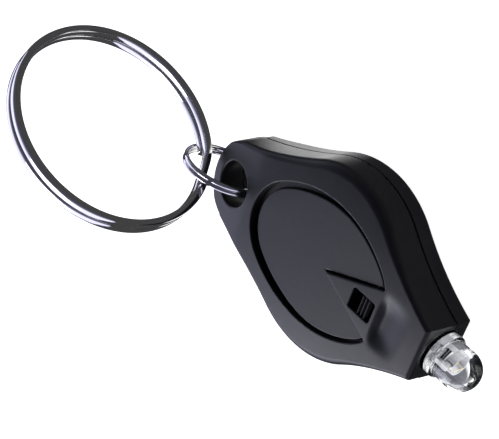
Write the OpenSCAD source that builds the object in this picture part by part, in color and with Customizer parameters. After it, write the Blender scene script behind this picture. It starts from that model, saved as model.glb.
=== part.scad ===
// Keychain flashlight: coin-cell body with a press disc, a slide switch,
// one 5 mm LED in the nose, a small split ring and a key ring.
// Frame: X to the LED, Y across, Z up to the press disc.
// Origin on the axis of the coin cells, at the flat back face.

/* [Body] */
// Overall thickness of the body
body_h = 7.1; // [6.8:0.05:7.4]
// Height of the seam between the two shells
seam_h = 2.4; // [2.2:0.05:2.6]
// Radius of the round shoulders
shoulder_r = 12.5; // [12.2:0.05:13.5]
// Distance from the cell axis to the nose face
nose_x = 18.0; // [17.6:0.1:19]
// Half width of the nose face
nose_half = 3.7; // [3.6:0.05:4]
// Radius of the hollow flanks beside the nose
flank_r = 37.0; // [34:1:40]
// Distance from the cell axis to the ring end
tail_x = 22.4; // [22.2:0.1:22.8]
// Half width of the lug where its round end starts
tail_half = 4.7; // [4.5:0.05:4.8]
// Radius of the hollow flanks beside the lug
tail_flank_r = 60.0; // [50:1:80]
// Radius of the round end of the lug
tail_end_r = 6.2; // [6:0.1:6.5]
// Distance from the cell axis to the start of the lug's slopes
slope_x = 13.8; // [13.6:0.1:14]
// Slope of both faces of the lug towards its end
slope_angle = 8.5; // [7:0.5:10]
// Height and depth of the shadow line at the seam
shadow_line = 0.2; // [0.1:0.05:0.25]

/* [Ring hole] */
// Distance from the cell axis to the ring hole
hole_x = 17.4; // [17.3:0.05:17.5]
// Radius of the ring hole
hole_r = 2.95; // [2.9:0.01:3]

/* [Press disc] */
// Centre of the oval along the body
oval_x = -0.5; // [-0.7:0.1:-0.3]
// Radius of the oval at its two ends
oval_end_r = 6.6; // [6.5:0.05:6.7]
// Distance of each end centre from the oval centre
oval_end_c = 5.4; // [5.3:0.05:5.5]
// Radius of the long sides of the oval
oval_side_r = 15.6; // [15.5:0.05:15.7]
// Distance of each side centre from the oval centre
oval_side_c = 7.2; // [7.1:0.05:7.3]
// Width of the open channel round the press disc
channel_w = 0.85; // [0.7:0.05:1]
// Depth of the press disc below the front face
disc_recess = 0.5; // [0.4:0.05:0.6]
// Gap between the press disc and the fixed tongue
tongue_gap = 0.15; // [0.12:0.01:0.2]
// Position of the point of the tongue
tongue_tip_x = 1.7; // [1.5:0.1:2]
// Half angle of the tongue
tongue_angle = 22.8; // [22:0.2:24]
// Travel of the press disc
disc_travel = 0.35; // [0.2:0.05:0.4]

/* [Slide switch] */
// Start of the slot
slot_x0 = 6.4; // [6.3:0.05:6.6]
// End of the slot
slot_x1 = 10.0; // [9.9:0.05:10.2]
// Width of the slot
slot_w = 2.7; // [2.6:0.05:2.8]
// Middle of the knob
knob_x = 8.6; // [8.5:0.05:8.7]
// Length of the knob along the body
knob_l = 1.6; // [1.5:0.05:1.7]
// Number of ribs on the knob
knob_ribs = 3; // [2:1:4]

/* [LED] */
// Height of the LED axis above the back
led_z = 3.4; // [3.35:0.05:3.5]
// Radius of the nose bore
bore_r = 2.9; // [2.85:0.01:2.9]
// Gap between the nose face and the LED flange
led_gap = 0.15; // [0.1:0.05:0.5]
// Radius of the LED lens
led_r = 2.5; // [2.45:0.01:2.55]
// Radius of the LED flange
led_flange_r = 2.85; // [2.8:0.01:2.9]
// Thickness of the LED flange
led_flange_t = 1.0; // [0.9:0.05:1.1]
// Length of the straight part of the lens
led_straight = 2.05; // [1.9:0.05:2.2]
// Side of the square LED leads
lead_s = 0.45; // [0.4:0.01:0.46]

/* [Cells] */
// Radius of a coin cell
cell_r = 10.0; // [9.9:0.01:10]
// Thickness of a coin cell
cell_h = 1.6; // [1.5:0.01:1.6]
// Height of the underside of the lower cell
cell_z = 1.3; // [1.3:0.01:1.32]

/* [Rings] */
// Outer radius of the key ring
key_r = 14.0; // [13.9:0.05:14]
// Radial width of the key ring strip
key_w = 1.05; // [1:0.05:1.15]
// Thickness of one turn of the key ring
key_t = 1.2; // [1.1:0.01:1.21]
// Centre line radius of the small ring
jump_r = 5.5; // [5.45:0.01:5.55]
// Wire radius of the small ring
jump_wire_r = 0.32; // [0.28:0.01:0.32]

/* [Hidden] */
$fn = 96;
eps = 0.01;
blend = 0.01;
shell_t = 1.1;
roof_z = body_h - shell_t;
cavity_r = cell_r + 0.25;
floor_z = cell_z - 0.02;
top_z = cell_z + 2 * cell_h;
shadow_z = seam_h + shadow_line;
// The flank circle touches the shoulder circle and passes the nose corner.
flank_d = shoulder_r + flank_r;
nose_d = sqrt(nose_x * nose_x + nose_half * nose_half);
nose_cos = (flank_d * flank_d + nose_d * nose_d - flank_r * flank_r) / (2 * flank_d * nose_d);
flank_angle = atan(nose_half / nose_x) + acos(nose_cos);
// The lug's flank circle touches the shoulder circle in the same way.
lug_x = tail_x - 1.2;
lug_d = shoulder_r + tail_flank_r;
end_d = sqrt(lug_x * lug_x + tail_half * tail_half);
end_cos = (lug_d * lug_d + end_d * end_d - tail_flank_r * tail_flank_r) / (2 * lug_d * end_d);
lug_angle = atan(tail_half / lug_x) + acos(end_cos);
lip_r0 = 10.45;
lip_r1 = 11.2;
lip_h = 0.7;
fit = 0.05;
flange_over = 0.5;
flange_t = 0.55;
flange_z = roof_z - 0.1 - flange_t;
disc_top = body_h - disc_recess;
pocket_z = flange_z - disc_travel - 0.15;
leaf_z = 4.93;
leaf_t = 0.15;
leaf_w = 2.2;
leaf_root_x = 10.4;
leaf_tip_x = -2.2;
post_x = -1.2;
post_r = 0.6;
led_base_x = nose_x + led_gap;
lead_off = 1.27;
lead_foot_x = 10.2;
lead_end_x = -4.0;
bore_x = 12.6;
lead_way_w = 2.8;
lead_way_h = 3.6;
scoop_x = oval_x + 12.6;
scoop_r = 6.0;
scoop_w = 5.0;
scoop_depth = 0.4;
cup_x = led_base_x + 2.2;
cup_r = 0.85;
key_turn_gap = 0.02;
key_c = [-27.85, 3.54, 19.3];
key_n = [0.5271, 0.8496, -0.0155];
jump_c = [-20.95, -0.33, 5.05];
jump_n = [0.015, 0.992, -0.127];

black_plastic = [0.16, 0.16, 0.18];
steel = [0.78, 0.78, 0.8];

// Cylinders that hollow the two flanks on one side, with their centres at a
// distance and an angle from the X axis.
module flank_cutters(d, angle, r, h) {
    for (s = [-1, 1])
        translate([d * cos(angle), s * d * sin(angle), -1])
            cylinder(r = r + blend, h = h + 2, $fn = 360);
}

// Solid with the body's outline between two heights, drawn larger by grow.
// Neighbouring walls cross by the blend, so that they meet at an angle.
module body_block(grow, z0, z1) {
    r = shoulder_r + grow;
    h = z1 - z0;
    nose_w = 2 * r * sin(flank_angle);
    lug_w = 2 * r * sin(lug_angle);
    translate([0, 0, z0])
        difference() {
            union() {
                cylinder(r = r, h = h);
                translate([0, -nose_w / 2, 0]) cube([nose_x, nose_w, h]);
                translate([-tail_x - 1, -lug_w / 2, 0]) cube([tail_x + 1, lug_w, h]);
            }
            flank_cutters(flank_d, flank_angle, flank_r - grow, h);
            flank_cutters(lug_d, 180 - lug_angle, tail_flank_r - grow, h);
            difference() {
                translate([-tail_x - 2, -shoulder_r, -1]) cube([4.2, 2 * shoulder_r, h + 2]);
                translate([tail_end_r - tail_x, 0, -2]) cylinder(r = tail_end_r + grow, h = h + 4);
            }
        }
}

// Hole through the lug.
module ring_hole() {
    translate([-hole_x, 0, -1]) cylinder(r = hole_r, h = body_h + 2);
}

// Everything above the lug's sloped front face.
module lug_slope() {
    translate([-slope_x, 0, 0])
        rotate([0, -slope_angle, 0])
            translate([-20, -20, 0])
                cube([20, 40, 10]);
}

// Oval made of four arcs, drawn smaller by the inset.
module oval(inset) {
    w = oval_side_r * oval_end_c / (oval_side_r - oval_end_r);
    translate([oval_x, 0]) {
        for (s = [-1, 1])
            translate([s * oval_end_c, 0])
                circle(oval_end_r - inset);
        intersection() {
            translate([0, -oval_side_c]) circle(oval_side_r - inset);
            translate([0, oval_side_c]) circle(oval_side_r - inset);
            square([2 * w, 4 * oval_side_c], center = true);
        }
    }
}

// Wedge shape of the fixed tongue, widened by the gap on each side.
module wedge(gap) {
    x0 = tongue_tip_x - gap / sin(tongue_angle);
    x1 = 2 * oval_end_r;
    polygon([[x0, 0], [x1, (x0 - x1) * tan(tongue_angle)], [x1, (x1 - x0) * tan(tongue_angle)]]);
}

module slot() {
    translate([slot_x0, -slot_w / 2]) square([slot_x1 - slot_x0, slot_w]);
}

// Nose bore and the narrower channel for the leads.
module lead_way() {
    translate([bore_x, 0, led_z])
        rotate([0, 90, 0])
            cylinder(r = bore_r, h = nose_x - bore_x + 1);
    translate([bore_x - 4.6, -lead_way_w / 2, led_z - 1.7])
        cube([5, lead_way_w, lead_way_h]);
}

module front_shell() {
    color(black_plastic)
        difference() {
            union() {
                body_block(0, shadow_z, body_h);
                body_block(-shadow_line, seam_h, body_h - 1);
            }
            translate([0, 0, seam_h - 1]) cylinder(r = cavity_r, h = top_z - seam_h + 1.2);
            translate([0, 0, seam_h - 1])
                difference() {
                    cylinder(r = lip_r1 + fit, h = lip_h + 1 + fit);
                    cylinder(r = cavity_r - 1, h = lip_h + 2);
                }
            translate([0, 0, top_z - eps]) linear_extrude(roof_z - top_z + eps) oval(-flange_over - 0.2);
            translate([0, 0, roof_z - eps])
                linear_extrude(shell_t + 1)
                    difference() {
                        oval(0);
                        wedge(0);
                    }
            translate([0, 0, roof_z - eps]) linear_extrude(shell_t + 1) slot();
            lead_way();
            ring_hole();
            translate([0, 0, body_h]) lug_slope();
            translate([scoop_x, 0, body_h + scoop_r - scoop_depth])
                rotate([90, 0, 0])
                    cylinder(r = scoop_r, h = scoop_w, center = true);
        }
}

module back_shell() {
    color(black_plastic)
        difference() {
            union() {
                body_block(0, 0, seam_h);
                translate([0, 0, seam_h - eps])
                    difference() {
                        cylinder(r = lip_r1, h = lip_h + eps);
                        translate([0, 0, -1]) cylinder(r = lip_r0, h = lip_h + 2);
                    }
            }
            translate([0, 0, floor_z]) cylinder(r = cavity_r, h = 5);
            lead_way();
            ring_hole();
            mirror([0, 0, 1]) lug_slope();
            translate([lead_end_x - 1, -lead_s / 2 - fit, floor_z - lead_s])
                cube([lead_foot_x + lead_s - lead_end_x + 1 + 2 * fit, lead_s + 2 * fit, 1]);
        }
}

// Press disc: an oval plate with a wedge cut out and a flange below.
module push_disc() {
    color([0.2, 0.2, 0.23])
        difference() {
            union() {
                translate([0, 0, flange_z + eps])
                    linear_extrude(disc_top - flange_z - eps)
                        oval(channel_w);
                translate([0, 0, flange_z]) linear_extrude(flange_t) oval(-flange_over);
                translate([post_x, 0, leaf_z + leaf_t + fit])
                    cylinder(r = post_r, h = flange_z - leaf_z - leaf_t + 0.2);
            }
            translate([0, 0, flange_z - 1]) linear_extrude(5) wedge(tongue_gap);
        }
}

// Soft C-shaped pad that lifts the press disc again.
module return_pad() {
    color([0.55, 0.55, 0.52])
        rotate([0, 0, 35])
            rotate_extrude(angle = 290)
                translate([6.6, top_z + 0.02]) square([1.4, flange_z - top_z - 0.04]);
}

// Slide knob with ribs, and the carriage that runs under the tongue.
module slide_knob() {
    rib_l = knob_l / (2 * knob_ribs - 1);
    color([0.1, 0.1, 0.11]) {
        translate([knob_x - knob_l / 2, -slot_w / 2 + 0.1, roof_z - 0.1])
            cube([knob_l, slot_w - 0.2, body_h - 0.35 - roof_z + 0.1]);
        for (i = [0 : knob_ribs - 1])
            translate([knob_x - knob_l / 2 + 2 * i * rib_l, -slot_w / 2 + 0.1, body_h - 0.36])
                cube([rib_l, slot_w - 0.2, 0.36]);
        translate([knob_x - 1.2, -1.75, roof_z - 0.55]) cube([2.6, 3.5, 0.5]);
    }
}

// Thin metal wiper clipped under the slide carriage.
module slide_contact() {
    color(steel)
        translate([knob_x - 1.0, -1.2, roof_z - 0.55 - 0.12]) cube([2.2, 2.4, 0.12]);
}

// Spring leaf between the press disc and the upper cell.
module contact_leaf() {
    color([0.78, 0.62, 0.35])
        translate([leaf_tip_x, -leaf_w / 2, leaf_z])
            cube([leaf_root_x - leaf_tip_x, leaf_w, leaf_t]);
}

module led_lens() {
    color([0.85, 0.88, 0.9, 0.5])
        difference() {
            translate([led_base_x, 0, led_z])
                rotate([0, 90, 0])
                    rotate_extrude() {
                        square([led_flange_r, led_flange_t]);
                        square([led_r, led_flange_t + led_straight]);
                        intersection() {
                            translate([0, led_flange_t + led_straight]) circle(led_r);
                            square([led_r, led_flange_t + led_straight + led_r]);
                        }
                    }
            led_inside(0.01);
        }
}

// Room inside the lens for the leads, the cup and the die.
module led_inside(gap) {
    g = gap;
    for (s = [-1, 1])
        translate([led_base_x - 1, -lead_s / 2 - g, led_z + s * lead_off - lead_s / 2 - g])
            cube([cup_x - led_base_x + 1, lead_s + 2 * g, lead_s + 2 * g]);
    translate([cup_x - 0.5 - g, 0, led_z - 0.35])
        rotate([0, 90, 0])
            cylinder(r = cup_r + g, h = 1.1 + 2 * g);
    translate([cup_x - 0.5 - g, -lead_s / 2 - g, led_z + 0.6 - g])
        cube([0.9 + 2 * g, lead_s + 2 * g, 1.1 + 2 * g]);
    translate([cup_x + 0.3, -0.12, led_z - 0.35 - 0.1]) cube([0.75, 0.24, 1.55]);
}

module led_cathode_lead() {
    z = led_z - lead_off;
    color(steel) {
        translate([lead_foot_x, -lead_s / 2, z - lead_s / 2])
            cube([cup_x - 0.4 - lead_foot_x, lead_s, lead_s]);
        translate([lead_foot_x, -lead_s / 2, floor_z - lead_s + eps])
            cube([lead_s, lead_s, z - floor_z + lead_s]);
        translate([lead_end_x, -lead_s / 2, floor_z - lead_s + eps])
            cube([lead_foot_x + lead_s / 2 - lead_end_x, lead_s, lead_s]);
        difference() {
            translate([cup_x - 0.5, 0, led_z - 0.35])
                rotate([0, 90, 0])
                    cylinder(r = cup_r, h = 1.0);
            translate([cup_x + 0.1, 0, led_z - 0.35])
                rotate([0, 90, 0])
                    cylinder(r1 = 0.35, r2 = 0.8, h = 0.45);
        }
    }
}

module led_anode_lead() {
    z = led_z + lead_off;
    color(steel) {
        translate([9.9, -lead_s / 2, z - lead_s / 2])
            cube([cup_x + 0.3 - 9.9, lead_s, lead_s]);
        translate([cup_x - 0.4, -lead_s / 2, led_z + 0.65])
            cube([0.7, lead_s, 0.9]);
    }
}

module led_die() {
    color([0.7, 0.75, 0.3])
        translate([cup_x + 0.1, -0.15, led_z - 0.5]) cube([0.15, 0.3, 0.3]);
}

// Fine gold wire from the die to the anode post.
module led_bond_wire() {
    color([0.85, 0.65, 0.25]) {
        translate([cup_x + 0.25, 0, led_z - 0.4])
            rotate([0, 90, 0])
                cylinder(r = 0.03, h = 0.6, $fn = 24);
        translate([cup_x + 0.85, 0, led_z - 0.42])
            cylinder(r = 0.03, h = 1.22, $fn = 24);
        translate([cup_x + 0.29, 0, led_z + 0.78])
            rotate([0, 90, 0])
                cylinder(r = 0.03, h = 0.58, $fn = 24);
    }
}

// One coin cell is a can above, a cap below and a sealing ring between.
module cell_can(z) {
    color([0.75, 0.75, 0.77])
        translate([0, 0, z])
            rotate_extrude()
                polygon([[0, cell_h], [cell_r - 0.2, cell_h], [cell_r, cell_h - 0.2],
                    [cell_r, 0.2], [cell_r - 0.35, 0.05], [cell_r - 0.65, 0.2],
                    [cell_r - 0.3, 0.4], [cell_r - 0.3, cell_h - 0.3], [0, cell_h - 0.3]]);
}

module cell_gasket(z) {
    color([0.2, 0.25, 0.2])
        translate([0, 0, z])
            rotate_extrude()
                polygon([[cell_r - 1.1, 0.28], [cell_r - 0.75, 0.24], [cell_r - 0.33, 0.44],
                    [cell_r - 0.33, cell_h - 0.33], [cell_r - 1.1, cell_h - 0.33]]);
}

module cell_cap(z) {
    color([0.82, 0.82, 0.84])
        translate([0, 0, z])
            rotate_extrude()
                polygon([[0, 0], [cell_r - 1.4, 0], [cell_r - 1.13, 0.25],
                    [cell_r - 1.13, cell_h - 0.33], [cell_r - 1.4, cell_h - 0.33],
                    [cell_r - 1.4, 0.3], [0, 0.3]]);
}

module lower_cell_can() cell_can(cell_z);
module lower_cell_cap() cell_cap(cell_z);
module lower_cell_gasket() cell_gasket(cell_z);
module upper_cell_can() cell_can(cell_z + cell_h);
module upper_cell_cap() cell_cap(cell_z + cell_h);
module upper_cell_gasket() cell_gasket(cell_z + cell_h);

// Turn the Z axis to a direction.
module point_along(n) {
    rotate([0, acos(n[2] / norm(n)), atan2(n[1], n[0])]) children();
}

// Small split ring of two round-wire turns through the ring hole.
module jump_ring() {
    color(steel)
        translate(jump_c)
            point_along(jump_n)
                for (s = [-1, 1])
                    translate([0, 0, s * (jump_wire_r - 0.01)])
                        rotate_extrude()
                            translate([jump_r, 0]) circle(jump_wire_r, $fn = 48);
}

// Key ring: a flat strip wound two turns.
module key_ring() {
    color(steel)
        translate(key_c)
            point_along(key_n)
                rotate_extrude() {
                    translate([key_r - key_w, key_turn_gap / 2]) square([key_w, key_t]);
                    translate([key_r - key_w, -key_t - key_turn_gap / 2]) square([key_w, key_t]);
                    translate([key_r - key_w + 0.3, -key_t / 2]) square([key_w - 0.6, key_t]);
                }
}

front_shell();
back_shell();
push_disc();
return_pad();
slide_knob();
slide_contact();
contact_leaf();
led_lens();
led_die();
led_bond_wire();
led_cathode_lead();
led_anode_lead();
lower_cell_can();
lower_cell_cap();
lower_cell_gasket();
upper_cell_can();
upper_cell_cap();
upper_cell_gasket();
jump_ring();
key_ring();
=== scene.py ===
"""Keychain flashlight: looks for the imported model.

Shapes are worked out in millimetres in the row frame, and made in metres.
"""

import math

import bpy
import numpy as np
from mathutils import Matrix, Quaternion, Vector


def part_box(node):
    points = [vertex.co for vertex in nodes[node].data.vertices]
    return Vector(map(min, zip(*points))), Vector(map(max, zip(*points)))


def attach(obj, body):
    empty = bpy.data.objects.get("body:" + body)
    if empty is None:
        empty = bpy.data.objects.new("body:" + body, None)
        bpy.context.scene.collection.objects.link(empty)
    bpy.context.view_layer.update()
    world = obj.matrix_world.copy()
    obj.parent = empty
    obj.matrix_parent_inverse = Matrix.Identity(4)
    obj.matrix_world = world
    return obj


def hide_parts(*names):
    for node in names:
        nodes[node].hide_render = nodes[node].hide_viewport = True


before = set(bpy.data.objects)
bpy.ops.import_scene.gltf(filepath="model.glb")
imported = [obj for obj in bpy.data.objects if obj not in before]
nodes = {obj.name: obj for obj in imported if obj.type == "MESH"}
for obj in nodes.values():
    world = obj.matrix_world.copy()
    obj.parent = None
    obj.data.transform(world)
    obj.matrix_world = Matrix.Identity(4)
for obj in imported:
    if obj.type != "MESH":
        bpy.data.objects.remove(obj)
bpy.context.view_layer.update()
MM = 0.001


def box_mm(node):
    """Lowest and highest corner of a CAD node, in millimetres."""
    low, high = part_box(node)
    return Vector(low) / MM, Vector(high) / MM


shell_low, shell_high = box_mm("front_shell")
back_low, back_high = box_mm("back_shell")
disc_low, disc_high = box_mm("push_disc")
knob_low, knob_high = box_mm("slide_knob")
lens_low, lens_high = box_mm("led_lens")

# Body. The shoulders and the lug are a little fuller than in the CAD.
BODY_H = shell_high.z
SEAM_Z = shell_low.z
NOSE_X = shell_high.x
TAIL_X = -shell_low.x
SHOULDER_R = 12.65
NOSE_HALF = 3.7
NOSE_EDGE_R = 0.12
FLANK_R = 37.0
TAIL_HALF = 5.2
TAIL_FLANK_R = 60.0
TAIL_END_R = 7.0
TAIL_CORNER_R = 1.3
TAIL_END_SPAN = 4.0
LUG_CORNER_IN = 1.2
SLOPE_X = -13.8
SLOPE = math.tan(math.radians(8.5))
SLOPE_START_R = 0.8
DRAFT = 0.05
ROOF_Z = BODY_H - 1.1
CAVITY_R = 10.25
CAVITY_TOP = 4.7
FLOOR_Z = 1.28
HOLE_X = -17.4
HOLE_R = 2.95
HOLE_EDGE_R = 0.3
SHADOW = 0.2
CROWN = 0.7
RIM_R = (0.5, 1.1)
RIM_Y = (4.5, 11.0)
BACK_RIM_R = 0.55
INNER_EDGE_R = 0.06

# Scoop beyond the slot: where it starts, is deepest and ends.
SCOOP_X = (10.3, 11.5, 15.5)
SCOOP_HALF = 2.8
SCOOP_DEPTH = 0.6

# Lip of the back shell, and the groove of the front shell it enters.
LIP_R = (10.45, 11.2)
LIP_Z = (SEAM_Z - 0.5, SEAM_Z + 0.7)
GROOVE_R = 11.25
GROOVE_TOP = SEAM_Z + 0.75

# Trench in the back for a lead.
TRENCH_HALF = 0.275
TRENCH_X = (-5.0, 10.75)
TRENCH_Z = (FLOOR_Z - 0.45, FLOOR_Z + 0.55)

# Press disc, tongue and slot.
OVAL_X = -0.5
OVAL_END_R = 6.6
OVAL_END_C = 5.4
OVAL_SIDE_R = 15.6
OVAL_SIDE_C = 7.2
CHANNEL_W = 0.85
CHANNEL_EASE = (-3.0, 6.0)
CHANNEL_NARROW = 0.45
DISC_TOP = disc_high.z
FLANGE_OVER = 0.5
FLANGE_Z = 5.35
FLANGE_T = 0.55
POCKET_Z = 4.5
POST_X = -1.2
POST_R = 0.6
CUT_R = 0.2
TIP_X = 1.7
TIP_ANGLE = math.radians(22.8)
TONGUE_GAP = 0.15
SLOT_X = (6.4, 10.0)
SLOT_W = 2.7

# Knob.
NECK_X = (knob_low.x + 0.4, knob_low.x + 2.0)
NECK_PLAY = 0.1
RIB_COUNT = 3
RIB_H = 0.17
CARRIAGE_HALF = 1.75
CARRIAGE_T = 0.5

# LED.
LED_Z = (lens_low.z + lens_high.z) / 2
LED_X = lens_low.x
LED_R = 2.5
FLANGE_R = lens_high.y
LENS_FLANGE_T = 1.0
BORE_R = 2.9
BORE_X = 12.6
LEAD_WAY_HALF = 1.4
LEAD_WAY_Z = (1.7, 5.3)
LEAD_WAY_X = (8.0, 13.0)


def flank_circle(radius, corner_x, corner_y):
    """Angle and centre of a circle that touches the shoulder and passes a corner."""
    away = SHOULDER_R + radius
    corner = math.hypot(corner_x, corner_y)
    cosine = (away**2 + corner**2 - radius**2) / (2 * away * corner)
    angle = math.atan2(corner_y, corner_x) + math.acos(cosine)
    return angle, away * math.cos(angle), away * math.sin(angle)


FLANK_ANGLE, FLANK_CX, FLANK_CY = flank_circle(FLANK_R, NOSE_X, NOSE_HALF)
LUG_ANGLE, LUG_CX, LUG_CY = flank_circle(TAIL_FLANK_R, TAIL_X - LUG_CORNER_IN, TAIL_HALF)


# ---------------------------------------------------------------- fields

def both(a, b, r):
    """Where both solids are, with the edge between them rounded by r."""
    outside = np.hypot(np.maximum(r + a, 0), np.maximum(r + b, 0))
    return np.minimum(-r, np.maximum(a, b)) + outside


def either(a, b, r):
    """Where one solid or the other is, with the inner corner rounded by r."""
    return -both(-a, -b, r)


def slab(v, low, high):
    """Distance outside the span from low to high."""
    return np.maximum(low - v, v - high)


FAR_INSIDE = -9.0


def outline(x, y):
    """Distance outside the body's outline in plan."""
    y = np.abs(y)
    angle = np.arctan2(y, x)
    shoulder = np.hypot(x, y) - SHOULDER_R
    flank = FLANK_R - np.hypot(x - FLANK_CX, y - FLANK_CY)
    nose = both(flank, x - NOSE_X, NOSE_EDGE_R)
    lug_side = TAIL_FLANK_R - np.hypot(x + LUG_CX, y - LUG_CY)
    lug_end = np.hypot(x + TAIL_X - TAIL_END_R, y) - TAIL_END_R
    lug_end = np.where(x < TAIL_END_SPAN - TAIL_X, lug_end, FAR_INSIDE)
    lug = both(lug_side, lug_end, TAIL_CORNER_R)
    rear = np.where(angle > math.pi - LUG_ANGLE, lug, shoulder)
    return np.where(angle < FLANK_ANGLE, nose, rear)


def lug_fall(x):
    """How far each face of the lug has sloped in, with a soft start."""
    return SLOPE * 0.5 * (SLOPE_X - x + np.hypot(SLOPE_X - x, SLOPE_START_R))


def oval(x, y, inset):
    """Oval of the press disc's opening, made smaller by inset."""
    x = np.abs(x - OVAL_X)
    y = np.abs(y)
    end = np.hypot(x - OVAL_END_C, y) - OVAL_END_R
    side = np.hypot(x, y + OVAL_SIDE_C) - OVAL_SIDE_R
    at_end = OVAL_END_C * (y + OVAL_SIDE_C) < OVAL_SIDE_C * x
    return np.where(at_end, end, side) + inset


def wedge(x, y, gap):
    """Wedge of the tongue, made larger by gap."""
    return np.abs(y) * math.cos(TIP_ANGLE) - (x - TIP_X) * math.sin(TIP_ANGLE) - gap


def bore(x, y, z):
    """Round bore of the LED and the channel its leads take to the cells."""
    round_part = np.maximum(np.hypot(y, z - LED_Z) - BORE_R, BORE_X - x)
    channel = np.maximum(np.abs(y) - LEAD_WAY_HALF, slab(z, *LEAD_WAY_Z))
    return np.minimum(round_part, np.maximum(channel, slab(x, *LEAD_WAY_X)))


def ring_hole(x, y):
    """Distance into the hole of the lug."""
    return HOLE_R - np.hypot(x - HOLE_X, y)


def ease(v, low, high):
    """Smooth step from 0 at low to 1 at high."""
    t = np.clip((v - low) / (high - low), 0, 1)
    return t * t * (3 - 2 * t)


def top_face(x, y):
    """Height of the crowned front, which drops beyond the slot and falls along the lug."""
    start, deepest, end = SCOOP_X
    scoop = SCOOP_DEPTH * ease(x, start, deepest) * (1 - ease(x, deepest, end))
    scoop = scoop * np.exp(-((np.abs(y) / SCOOP_HALF) ** 4))
    return BODY_H - CROWN * (y / SHOULDER_R) ** 2 - scoop - lug_fall(x)


def front_shell_field(x, y, z):
    """Front shell: crowned, hollow, with the disc's opening, the slot and the ring hole."""
    side = outline(x, y) + DRAFT * (z - SEAM_Z)
    rim = RIM_R[0] + (RIM_R[1] - RIM_R[0]) * ease(np.abs(y), *RIM_Y)
    body = both(side, z - top_face(x, y), rim)
    body = np.maximum(body, -np.maximum(z - SEAM_Z - SHADOW, -side - SHADOW))
    body = both(body, SEAM_Z - z, 0.04)
    hollow = np.maximum(np.hypot(x, y) - CAVITY_R, z - CAVITY_TOP)
    pocket = np.maximum(oval(x, y, -FLANGE_OVER - 0.2), slab(z, POCKET_Z, ROOF_Z))
    groove = np.maximum(slab(np.hypot(x, y), CAVITY_R - 1, GROOVE_R), z - GROOVE_TOP)
    inside = np.minimum(np.minimum(hollow, pocket), np.minimum(groove, bore(x, y, z)))
    body = both(body, -inside, INNER_EDGE_R)
    through = ROOF_Z - 0.2 - z
    opening = both(oval(x, y, 0), -wedge(x, y, 0), 0.15)
    body = both(body, -np.maximum(opening, through), 0.14)
    slot = both(slab(x, *SLOT_X), np.abs(y) - SLOT_W / 2, CUT_R)
    body = both(body, -np.maximum(slot, through), 0.1)
    return both(body, ring_hole(x, y), HOLE_EDGE_R)


def back_shell_field(x, y, z):
    """Back shell: flat, with the lip, the trench for a lead and the ring hole."""
    side = outline(x, y) + DRAFT * (z - SEAM_Z)
    body = both(side, lug_fall(x) - z, BACK_RIM_R)
    body = both(body, z - SEAM_Z, INNER_EDGE_R)
    lip = np.maximum(slab(np.hypot(x, y), *LIP_R), slab(z, *LIP_Z))
    body = np.minimum(body, lip)
    hollow = np.maximum(np.hypot(x, y) - CAVITY_R, FLOOR_Z - z)
    trench = np.maximum(np.abs(y) - TRENCH_HALF, slab(x, *TRENCH_X))
    trench = np.maximum(trench, slab(z, *TRENCH_Z))
    inside = np.minimum(np.minimum(hollow, trench), bore(x, y, z))
    body = both(body, -inside, INNER_EDGE_R)
    return both(body, ring_hole(x, y), HOLE_EDGE_R)


def push_disc_field(x, y, z):
    """Press disc with its flange and post. The channel round it narrows towards the nose."""
    notch = -wedge(x, y, TONGUE_GAP)
    wide = 1 - CHANNEL_NARROW
    gap = CHANNEL_W * (CHANNEL_NARROW + wide * ease(-x, *CHANNEL_EASE))
    cap = both(both(oval(x, y, gap), notch, CUT_R), z - DISC_TOP, 0.16)
    cap = np.maximum(cap, FLANGE_Z - z)
    flange = both(oval(x, y, -FLANGE_OVER), notch, CUT_R)
    flange = both(flange, z - FLANGE_Z - FLANGE_T, 0.1)
    flange = np.maximum(flange, FLANGE_Z - z)
    post = np.maximum(np.hypot(x - POST_X, y) - POST_R, slab(z, disc_low.z, DISC_TOP - 0.5))
    return np.minimum(either(cap, flange, 0.15), post)


def slide_knob_field(x, y, z):
    """Ribbed knob on its neck, one moulding with the carriage below the slot."""
    half = SLOT_W / 2 - NECK_PLAY
    neck = both(slab(x, *NECK_X), np.abs(y) - half, 0.08)
    pitch = (NECK_X[1] - NECK_X[0]) / RIB_COUNT
    wave = RIB_H * (1 - np.cos(2 * math.pi * (x - NECK_X[0]) / pitch))
    neck = both(neck, z - (knob_high.z - 0.36 + wave), 0.06)
    neck = np.maximum(neck, knob_low.z + 0.3 - z)
    carriage = both(slab(x, knob_low.x, knob_high.x), np.abs(y) - CARRIAGE_HALF, 0.2)
    carriage = both(carriage, slab(z, knob_low.z, knob_low.z + CARRIAGE_T), 0.08)
    return np.minimum(neck, carriage)


# ---------------------------------------------------------------- mesh tools

def new_object(name, vertices, faces, body, slot, replaces=()):
    """Smooth-shaded piece that rides on body and takes the place of CAD nodes."""
    mesh = bpy.data.meshes.new(name)
    mesh.from_pydata([tuple(v) for v in vertices], [], faces)
    mesh.shade_smooth()
    mesh.update()
    piece = bpy.data.objects.new(name, mesh)
    bpy.context.scene.collection.objects.link(piece)
    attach(piece, body)
    if replaces:
        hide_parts(*replaces)
    return piece


def gradient(field, points, h=0.004):
    """Slope of the field at each point, by differences over 2 h."""
    out = np.empty_like(points)
    for axis in range(3):
        step = np.zeros(3)
        step[axis] = h
        out[:, axis] = field(*(points + step).T) - field(*(points - step).T)
    return out / (2 * h)


MARGIN_CELLS = 2.3
PROJECT_ROUNDS = 6
LEAST_SLOPE = 0.05


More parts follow.
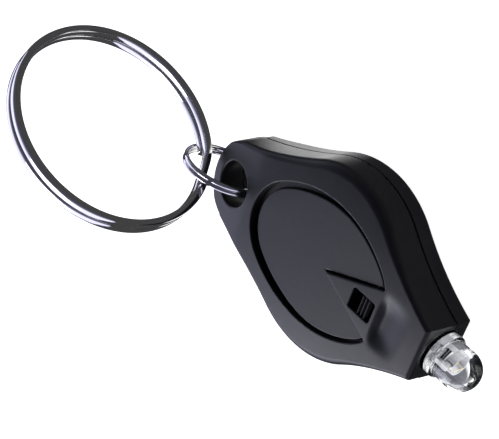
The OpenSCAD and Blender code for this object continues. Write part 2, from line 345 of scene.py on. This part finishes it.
def solid_from_field(name, field, low, high, step, **facts):
    """Closed mesh of quads where field(x, y, z) crosses zero, with the field's own normals."""
    low = np.array(low) - MARGIN_CELLS * step
    count = np.ceil((np.array(high) + MARGIN_CELLS * step - low) / step).astype(int) + 1
    axes = [low[i] + step * np.arange(count[i]) for i in range(3)]
    inside = field(*np.meshgrid(*axes, indexing="ij")) < 0
    total = np.zeros(count - 1, dtype=np.int8)
    for i in (0, 1):
        for j in (0, 1):
            for k in (0, 1):
                corner = [slice(d, count[n] - 1 + d) for n, d in enumerate((i, j, k))]
                total += inside[tuple(corner)]
    active = (total > 0) & (total < 8)
    index = np.full(active.shape, -1)
    cells = np.argwhere(active)
    index[active] = np.arange(len(cells))
    centre = low + step * (cells + 0.5)
    points = centre.copy()
    for _ in range(PROJECT_ROUNDS):
        g = gradient(field, points)
        size = np.maximum((g * g).sum(1), LEAST_SLOPE)
        points -= (field(*points.T) / size)[:, None] * g
        points = np.clip(points, centre - 0.5 * step, centre + 0.5 * step)
    quads = []
    for a in range(3):
        b, c = (a + 1) % 3, (a + 2) % 3
        ahead = np.roll(inside, -1, axis=a)
        change = inside != ahead
        change[tuple(slice(-1, None) if i == a else slice(None) for i in range(3))] = False
        edge = np.argwhere(change)
        out = inside[tuple(edge.T)]

        def cell(db, dc):
            near = edge.copy()
            near[:, b] -= db
            near[:, c] -= dc
            return index[tuple(near.T)]

        quad = np.stack([cell(1, 1), cell(0, 1), cell(0, 0), cell(1, 0)], axis=1)
        quad[~out] = quad[~out][:, ::-1]
        quads.append(quad)
    faces = np.concatenate(quads)
    piece = new_object(name, points * MM, faces.tolist(), **facts)
    normals = gradient(field, points)
    normals /= np.maximum(np.linalg.norm(normals, axis=1), 1e-6)[:, None]
    piece.data.normals_split_custom_set_from_vertices(normals.tolist())
    return piece


def lathe(name, profile, origin, segments, **facts):
    """Solid turned about X. profile is (x, radius) from one end of the axis to the other."""
    vertices = []
    rings = []
    for x, r in profile:
        if r < 1e-6:
            rings.append([len(vertices)] * segments)
            vertices.append((origin[0] + x, origin[1], origin[2]))
            continue
        rings.append(list(range(len(vertices), len(vertices) + segments)))
        for i in range(segments):
            t = 2 * math.pi * i / segments
            y, z = r * math.cos(t), r * math.sin(t)
            vertices.append((origin[0] + x, origin[1] + y, origin[2] + z))
    faces = []
    for a, b in zip(rings, rings[1:]):
        for i in range(segments):
            j = (i + 1) % segments
            corners = [a[i], a[j], b[j], b[i]]
            face = [v for k, v in enumerate(corners) if v not in corners[:k]]
            if len(face) > 2:
                faces.append(face)
    return new_object(name, [Vector(v) * MM for v in vertices], faces, **facts)


def arc(cx, cy, r, start, end, steps):
    """Points on an arc, angles in degrees."""
    out = []
    for i in range(steps + 1):
        t = math.radians(start + (end - start) * i / steps)
        out.append((cx + r * math.cos(t), cy + r * math.sin(t)))
    return out


def strip_section(w, h, rx, ry, steps):
    """Flat-faced strip with swelling sides: a rectangle with elliptical corners."""
    out = []
    for i, (sx, sy) in enumerate([(1, 1), (-1, 1), (-1, -1), (1, -1)]):
        for a, b in arc(0.0, 0.0, 1.0, 90 * i, 90 * (i + 1), steps):
            out.append((sx * (w / 2 - rx) + rx * a, sy * (h / 2 - ry) + ry * b))
    return out


RING_STEPS = 420


def split_ring(name, centre, normal, toward, section, radius, rise, start, jog, sense, **facts):
    """Wire wound two turns. It steps from the upper turn to the lower one over the jog angle."""
    n = Vector(normal).normalized()
    u = Vector(toward) - Vector(centre)
    u = (u - n * u.dot(n)).normalized()
    w = n.cross(u)
    steps = RING_STEPS
    full = 2 * (2 * math.pi) - jog
    vertices = []
    for i in range(steps + 1):
        turn = full * i / steps
        t = min(max((turn - (2 * math.pi - jog)) / jog, 0), 1)
        height = rise * (0.5 - t * t * (3 - 2 * t))
        angle = start + sense * turn
        out = u * math.cos(angle) + w * math.sin(angle)
        for a, b in section:
            vertices.append((Vector(centre) + out * (radius + a) + n * (height + b)) * MM)
    m = len(section)
    faces = []
    for i in range(steps):
        for k in range(m):
            j = (k + 1) % m
            face = [i * m + k, i * m + j, (i + 1) * m + j, (i + 1) * m + k]
            faces.append(face if sense < 0 else face[::-1])
    first = list(range(m))
    last = [steps * m + k for k in range(m)]
    faces.append(first[::-1] if sense < 0 else first)
    faces.append(last if sense < 0 else last[::-1])
    piece = new_object(name, vertices, faces, **facts)
    piece.data.polygons[-1].use_smooth = False
    piece.data.polygons[-2].use_smooth = False
    return piece


# ---------------------------------------------------------------- materials

def material(name, **sockets):
    """A material with one Principled shader, its sockets set by name."""
    mat = bpy.data.materials.new(name)
    mat.use_nodes = True
    shader = mat.node_tree.nodes["Principled BSDF"]
    for key, value in sockets.items():
        shader.inputs[key.replace("_", " ")].default_value = value
    return mat, mat.node_tree, shader


def add(tree, kind, **settings):
    """A node with its properties or input sockets set by name."""
    node = tree.nodes.new(kind)
    for key, value in settings.items():
        if hasattr(node, key):
            setattr(node, key, value)
        else:
            node.inputs[key.replace("_", " ")].default_value = value
    return node


def object_noise(tree, scale, detail=4.0):
    """Noise in object coordinates, scale per metre."""
    place = add(tree, "ShaderNodeTexCoord")
    noise = add(tree, "ShaderNodeTexNoise", Scale=scale, Detail=detail)
    tree.links.new(place.outputs["Object"], noise.inputs["Vector"])
    return noise


def add_bump(tree, shader, source, strength, distance):
    bump = add(tree, "ShaderNodeBump", Strength=strength, Distance=distance)
    tree.links.new(source, bump.inputs["Height"])
    tree.links.new(bump.outputs["Normal"], shader.inputs["Normal"])


def ramp_between(tree, source, low, high, start=0.3, end=0.7):
    """Colour that runs from low to high as source runs from start to end."""
    ramp = add(tree, "ShaderNodeValToRGB")
    ramp.color_ramp.elements[0].position = start
    ramp.color_ramp.elements[1].position = end
    ramp.color_ramp.elements[0].color = low
    ramp.color_ramp.elements[1].color = high
    tree.links.new(source, ramp.inputs["Fac"])
    return ramp.outputs["Color"]


def spread(tree, source, low, high):
    """Source, from 0 to 1, stretched to run from low to high."""
    node = add(tree, "ShaderNodeMapRange", To_Min=low, To_Max=high)
    tree.links.new(source, node.inputs["Value"])
    return node.outputs["Result"]


def vary_colour(tree, shader, noise, colour, low, high):
    """Base colour that wanders between low and high times colour."""
    dark = tuple(c * low for c in colour) + (1,)
    light = tuple(min(c * high, 1) for c in colour) + (1,)
    tone = ramp_between(tree, noise.outputs["Fac"], dark, light)
    tree.links.new(tone, shader.inputs["Base Color"])


def vary_gloss(tree, shader, noise, low, high):
    """Roughness that wanders between low and high."""
    gloss = spread(tree, noise.outputs["Fac"], low, high)
    tree.links.new(gloss, shader.inputs["Roughness"])


def moulded_plastic(name, colour, roughness, grain):
    """Satin plastic from a spark-eroded mould: fine grain, faint mottling, uneven gloss."""
    mat, tree, shader = material(name, Specular_IOR_Level=0.45)
    mottle = object_noise(tree, 900.0)
    vary_colour(tree, shader, mottle, colour, 0.86, 1.14)
    wear = object_noise(tree, 350.0, 6.0)
    vary_gloss(tree, shader, wear, roughness - 0.07, roughness + 0.07)
    fine = object_noise(tree, 9000.0, 2.0)
    add_bump(tree, shader, fine.outputs["Fac"], grain, 0.00004)
    return mat


def polished_metal(name, colour, roughness, scratch):
    """Bright metal with fine marks that break up its gloss."""
    mat, tree, shader = material(name, Base_Color=colour + (1,), Metallic=1.0)
    marks = object_noise(tree, 2500.0, 6.0)
    vary_gloss(tree, shader, marks, roughness * 0.6, roughness * 1.5)
    add_bump(tree, shader, marks.outputs["Fac"], scratch, 0.00001)
    return mat


SHELL_MAT = moulded_plastic("shell_plastic", (0.0075, 0.0075, 0.0105), 0.34, 0.22)
DISC_MAT = moulded_plastic("disc_plastic", (0.010, 0.010, 0.0135), 0.38, 0.3)
KNOB_MAT = moulded_plastic("knob_plastic", (0.006, 0.006, 0.008), 0.36, 0.12)
CHROME_MAT = polished_metal("nickel_plate", (0.80, 0.79, 0.80), 0.07, 0.02)
TIN_MAT = polished_metal("tinned_lead", (0.50, 0.50, 0.52), 0.3, 0.01)
CELL_MAT = polished_metal("cell_steel", (0.70, 0.70, 0.72), 0.24, 0.1)
LEAF_MAT = polished_metal("leaf_bronze", (0.72, 0.50, 0.26), 0.25, 0.08)
SPRING_MAT = polished_metal("spring_steel", (0.62, 0.62, 0.64), 0.25, 0.08)
GOLD_MAT = polished_metal("bond_gold", (0.85, 0.72, 0.40), 0.15, 0.02)


def soft_matte(name, colour, roughness, scale):
    """Matte rubber, plastic or crystal with a visible grain."""
    mat, tree, shader = material(name)
    grain = object_noise(tree, scale)
    vary_colour(tree, shader, grain, colour, 0.85, 1.12)
    vary_gloss(tree, shader, grain, roughness - 0.06, roughness + 0.06)
    add_bump(tree, shader, grain.outputs["Fac"], 0.1, 0.00003)
    return mat


PAD_MAT = soft_matte("pad_silicone", (0.42, 0.42, 0.40), 0.6, 2000.0)
GASKET_MAT = soft_matte("gasket_plastic", (0.03, 0.04, 0.03), 0.5, 2000.0)
DIE_MAT = soft_matte("die_crystal", (0.80, 0.86, 0.22), 0.3, 6000.0)


def clear_epoxy():
    """Clear cast resin with a trace of haze."""
    mat, tree, shader = material("clear_epoxy", Base_Color=(0.96, 0.975, 0.98, 1),
                                 IOR=1.52, Transmission_Weight=1.0)
    haze = object_noise(tree, 1500.0)
    vary_gloss(tree, shader, haze, 0.015, 0.05)
    return mat


EPOXY_MAT = clear_epoxy()


def paint(obj, mat):
    obj.data.materials.clear()
    obj.data.materials.append(mat)


# ---------------------------------------------------------------- shells and controls

STEP = 0.16

DISC_STEP = STEP * 0.8
KNOB_STEP = STEP * 0.4

front = solid_from_field("front_shell_skin", front_shell_field, shell_low, shell_high, STEP,
                         body="housing", slot="black_plastic", replaces=["front_shell"])
back = solid_from_field("back_shell_skin", back_shell_field, back_low, back_high, STEP,
                        body="housing", slot="black_plastic", replaces=["back_shell"])
disc = solid_from_field("push_disc_skin", push_disc_field, disc_low, disc_high, DISC_STEP,
                        body="press_disc", slot="disc_plastic", replaces=["push_disc"])
knob = solid_from_field("slide_knob_skin", slide_knob_field, knob_low, knob_high, KNOB_STEP,
                        body="slide", slot="knob_plastic", replaces=["slide_knob"])
paint(front, SHELL_MAT)
paint(back, SHELL_MAT)
paint(disc, DISC_MAT)
paint(knob, KNOB_MAT)

# ---------------------------------------------------------------- LED

BACK_EDGE_R = 0.12
FRONT_EDGE_R = 0.1
FILLET_R = 0.12
EDGE_STEPS = 4
DOME_STEPS = 28
LENS_SEGMENTS = 96

dome_x = lens_high.x - LED_X - LED_R
lens_profile = [(0.0, 0.0), (0.0, FLANGE_R - BACK_EDGE_R)]
lens_profile += arc(BACK_EDGE_R, FLANGE_R - BACK_EDGE_R, BACK_EDGE_R, 180, 90, EDGE_STEPS)
lens_profile += arc(LENS_FLANGE_T - FRONT_EDGE_R, FLANGE_R - FRONT_EDGE_R, FRONT_EDGE_R,
                    90, 0, EDGE_STEPS)
lens_profile += arc(LENS_FLANGE_T + FILLET_R, LED_R + FILLET_R, FILLET_R, 180, 270, EDGE_STEPS)
lens_profile += arc(dome_x, 0.0, LED_R, 90, 0, DOME_STEPS)
lens = lathe("led_lens_skin", lens_profile, (LED_X, 0.0, LED_Z), LENS_SEGMENTS,
             body="housing", slot="clear_epoxy", replaces=["led_lens"])
paint(lens, EPOXY_MAT)

# ---------------------------------------------------------------- rings

# Key ring: flat strip. Centre and axis are those of the CAD, LINK is where it passes the small ring.
KEY_C = (-27.85, 3.54, 19.3)
KEY_N = (0.5271, 0.8496, -0.0155)
LINK = (-22.48, -0.01, 7.46)
KEY_R = 14.0
KEY_W = 1.05
KEY_T = 1.2
KEY_CORNER = (0.25, 0.5)
KEY_START = math.radians(-12)
KEY_JOG = math.radians(20)
KEY_GAP = 0.02

# Small ring: round wire.
JUMP_C = (-20.95, -0.33, 5.05)
JUMP_N = (0.015, 0.992, -0.127)
JUMP_R = 5.5
JUMP_JOG = math.radians(30)
JUMP_PRESS = 0.02
WIRE_R = 0.32
WIRE_SIDES = 24

key_section = strip_section(KEY_W, KEY_T, *KEY_CORNER, 6)
key_ring = split_ring("key_ring_coil", KEY_C, KEY_N, LINK, key_section,
                      KEY_R - KEY_W / 2, KEY_T + KEY_GAP, KEY_START, KEY_JOG, -1,
                      body="large_ring", slot="polished_chrome", replaces=["key_ring"])
wire_section = arc(0, 0, WIRE_R, 0, 360 - 360 / WIRE_SIDES, WIRE_SIDES - 1)
jump_ring = split_ring("jump_ring_coil", JUMP_C, JUMP_N, (HOLE_X, 0, 0), wire_section,
                       JUMP_R, 2 * WIRE_R - JUMP_PRESS, 0.0, JUMP_JOG, 1,
                       body="small_ring", slot="polished_chrome", replaces=["jump_ring"])
paint(key_ring, CHROME_MAT)
paint(jump_ring, CHROME_MAT)

# ---------------------------------------------------------------- carried-over nodes

NODE_MATS = {
    "return_pad": PAD_MAT,
    "slide_contact": SPRING_MAT,
    "contact_leaf": LEAF_MAT,
    "led_die": DIE_MAT,
    "led_bond_wire": GOLD_MAT,
    "led_cathode_lead": TIN_MAT,
    "led_anode_lead": TIN_MAT,
    "lower_cell_can": CELL_MAT,
    "lower_cell_cap": CELL_MAT,
    "lower_cell_gasket": GASKET_MAT,
    "upper_cell_can": CELL_MAT,
    "upper_cell_cap": CELL_MAT,
    "upper_cell_gasket": GASKET_MAT,
}
for node_name, node_mat in NODE_MATS.items():
    paint(nodes[node_name], node_mat)

# ---------------------------------------------------------------- stage

scene = bpy.context.scene
scene.view_settings.view_transform = "Standard"

FLOOR_HALF = 1.5
FLOOR_DROP = 0.00002
FLOOR_GLOW = 1.0

# Painted reflection: glossy rays see the floor painted bright round the tail, dark further out and
# in the ring hole.
BRIGHT_SPOT = (-0.010, -0.003, 0.0)
BRIGHT_EDGE = (0.0135, 0.017)
BRIGHT_LEVEL = 1.7
FAR_LEVEL = 0.06
HOLE_SPOT = (HOLE_X * MM, 0.0, 0.0)
HOLE_EDGE = (0.0032, 0.0038)
HOLE_LEVEL = 0.02

# Painted light and shade seen through the clear lens: rays through it see soft grey patches on the
# floor and in the surround.
FLOOR_PATCH_SCALE = 260.0
FLOOR_PAINTED_LENS_SHADES = ((0.10, 0.10, 0.13, 1), (1.8, 1.8, 1.8, 1))
FLOOR_PATCH_EDGE = (0.32, 0.48)
WORLD_PATCH_SCALE = 3.0
WORLD_PAINTED_LENS_SHADES = ((0.08, 0.08, 0.11, 1), (1.3, 1.3, 1.35, 1))
WORLD_PATCH_EDGE = (0.34, 0.50)

# Surround: brightness along one direction, with a blue tint.
DARK_WAY = (0.3, 0.6, 0.75)
WORLD_STOPS = [(0.0, 1.2), (0.44, 1.35), (0.56, 0.45), (0.68, 0.1), (1.0, 0.06)]
WORLD_TINT = (0.9, 0.9, 1.2)


def falloff(tree, place, spot, edge, near, far):
    """Value that runs from near to far over the distances in edge from a spot."""
    reach = add(tree, "ShaderNodeVectorMath", operation="DISTANCE")
    reach.inputs[1].default_value = spot
    tree.links.new(place.outputs["Object"], reach.inputs[0])
    shade = add(tree, "ShaderNodeMapRange", From_Min=edge[0], From_Max=edge[1],
                To_Min=near, To_Max=far)
    tree.links.new(reach.outputs["Value"], shade.inputs["Value"])
    return shade


def choose(tree, switch, usual, other):
    """Shader that is other where switch is 1 and usual elsewhere."""
    mix = add(tree, "ShaderNodeMixShader")
    tree.links.new(switch, mix.inputs[0])
    tree.links.new(usual, mix.inputs[1])
    tree.links.new(other, mix.inputs[2])
    return mix.outputs["Shader"]


def make_floor():
    """Pale floor, with painted reflections for glossy rays and painted grey patches for rays through
    the lens.
    """
    mesh = bpy.data.meshes.new("floor")
    signs = [(-1, -1), (1, -1), (1, 1), (-1, 1)]
    corners = [(i * FLOOR_HALF, j * FLOOR_HALF, 0) for i, j in signs]
    mesh.from_pydata(corners, [], [(0, 1, 2, 3)])
    floor = bpy.data.objects.new("floor", mesh)
    floor.location.z = -FLOOR_DROP
    scene.collection.objects.link(floor)
    mat, tree, shader = material("floor_white", Base_Color=(0.95, 0.95, 0.95, 1), Roughness=0.9,
                                 Emission_Color=(1, 1, 1, 1), Emission_Strength=FLOOR_GLOW)
    path = add(tree, "ShaderNodeLightPath")
    place = add(tree, "ShaderNodeTexCoord")
    shade = falloff(tree, place, BRIGHT_SPOT, BRIGHT_EDGE, BRIGHT_LEVEL, FAR_LEVEL)
    hole = falloff(tree, place, HOLE_SPOT, HOLE_EDGE, HOLE_LEVEL, BRIGHT_LEVEL)
    tree.links.new(hole.outputs["Result"], shade.inputs["To Min"])
    # Painted reflection: what glossy rays see here instead of the floor.
    painted_reflection = add(tree, "ShaderNodeEmission")
    tree.links.new(shade.outputs["Result"], painted_reflection.inputs["Strength"])
    glossy = path.outputs["Is Glossy Ray"]
    reflected = choose(tree, glossy, shader.outputs["BSDF"], painted_reflection.outputs["Emission"])
    # Painted light and shade seen through the lens: grey patches instead of the floor.
    painted_lens_view = add(tree, "ShaderNodeEmission")
    patches = object_noise(tree, FLOOR_PATCH_SCALE, 1.0)
    grey = ramp_between(tree, patches.outputs["Fac"], *FLOOR_PAINTED_LENS_SHADES, *FLOOR_PATCH_EDGE)
    tree.links.new(grey, painted_lens_view.inputs["Color"])
    through = path.outputs["Is Transmission Ray"]
    surface = choose(tree, through, reflected, painted_lens_view.outputs["Emission"])
    tree.links.new(surface, tree.nodes["Material Output"].inputs["Surface"])
    paint(floor, mat)


def make_light(name, direction, distance, size, power):
    """Square soft light that faces the origin."""
    light = bpy.data.lights.new(name, "AREA")
    light.size = size
    light.energy = power
    lamp = bpy.data.objects.new(name, light)
    way = Vector(direction).normalized()
    lamp.location = way * distance
    lamp.rotation_euler = way.to_track_quat("Z", "Y").to_euler()
    scene.collection.objects.link(lamp)


def make_world():
    """Studio surround, bright low on one side and dark high on the other, with painted grey patches
    for rays through the lens.
    """
    world = bpy.data.worlds.new("studio")
    scene.world = world
    world.use_nodes = True
    tree = world.node_tree
    backdrop = tree.nodes["Background"]
    place = add(tree, "ShaderNodeTexCoord")
    along = add(tree, "ShaderNodeVectorMath", operation="DOT_PRODUCT")
    along.inputs[1].default_value = Vector(DARK_WAY).normalized()
    tree.links.new(place.outputs["Generated"], along.inputs[0])
    ramp = add(tree, "ShaderNodeValToRGB")
    while len(ramp.color_ramp.elements) < len(WORLD_STOPS):
        ramp.color_ramp.elements.new(0.5)
    for element, (position, value) in zip(ramp.color_ramp.elements, WORLD_STOPS):
        element.position = position
        element.color = tuple(value * tint for tint in WORLD_TINT) + (1,)
    scale = add(tree, "ShaderNodeMapRange", From_Min=-1.0, From_Max=1.0)
    tree.links.new(along.outputs["Value"], scale.inputs["Value"])
    tree.links.new(scale.outputs["Result"], ramp.inputs["Fac"])
    tree.links.new(ramp.outputs["Color"], backdrop.inputs["Color"])
    # Painted light and shade seen through the lens: grey patches instead of the surround.
    path = add(tree, "ShaderNodeLightPath")
    patches = add(tree, "ShaderNodeTexNoise", Scale=WORLD_PATCH_SCALE, Detail=1.0)
    tree.links.new(place.outputs["Generated"], patches.inputs["Vector"])
    grey = ramp_between(tree, patches.outputs["Fac"], *WORLD_PAINTED_LENS_SHADES, *WORLD_PATCH_EDGE)
    painted_lens_surround = add(tree, "ShaderNodeBackground")
    tree.links.new(grey, painted_lens_surround.inputs["Color"])
    through = path.outputs["Is Transmission Ray"]
    surround = choose(tree, through, backdrop.outputs["Background"], painted_lens_surround.outputs["Background"])
    tree.links.new(surround, tree.nodes["World Output"].inputs["Surface"])


def make_camera():
    """Camera given by its bearing, height and roll round the point it aims at."""
    azimuth, elevation, roll = (math.radians(v) for v in (130.953, 40.33, -100.214))
    aim = Vector((-10.32, -0.217, 9.349)) * MM
    distance = 147.36 * MM
    back_way = Vector((math.sin(azimuth) * math.cos(elevation),
                       -math.cos(azimuth) * math.cos(elevation), math.sin(elevation)))
    camera = bpy.data.cameras.new("camera")
    camera.lens = 86.57
    camera.sensor_width = 36.0
    camera.clip_start = 0.01
    eye = bpy.data.objects.new("camera", camera)
    eye.location = aim + back_way * distance
    eye.rotation_mode = "QUATERNION"
    turn = Quaternion((0, 0, 1), roll)
    eye.rotation_quaternion = (-back_way).to_track_quat("-Z", "Y") @ turn
    scene.collection.objects.link(eye)
    scene.camera = eye


make_floor()
make_light("key", direction=(-0.3, -1.2, 0.9), distance=0.35, size=0.22, power=0.4)
make_world()
make_camera()
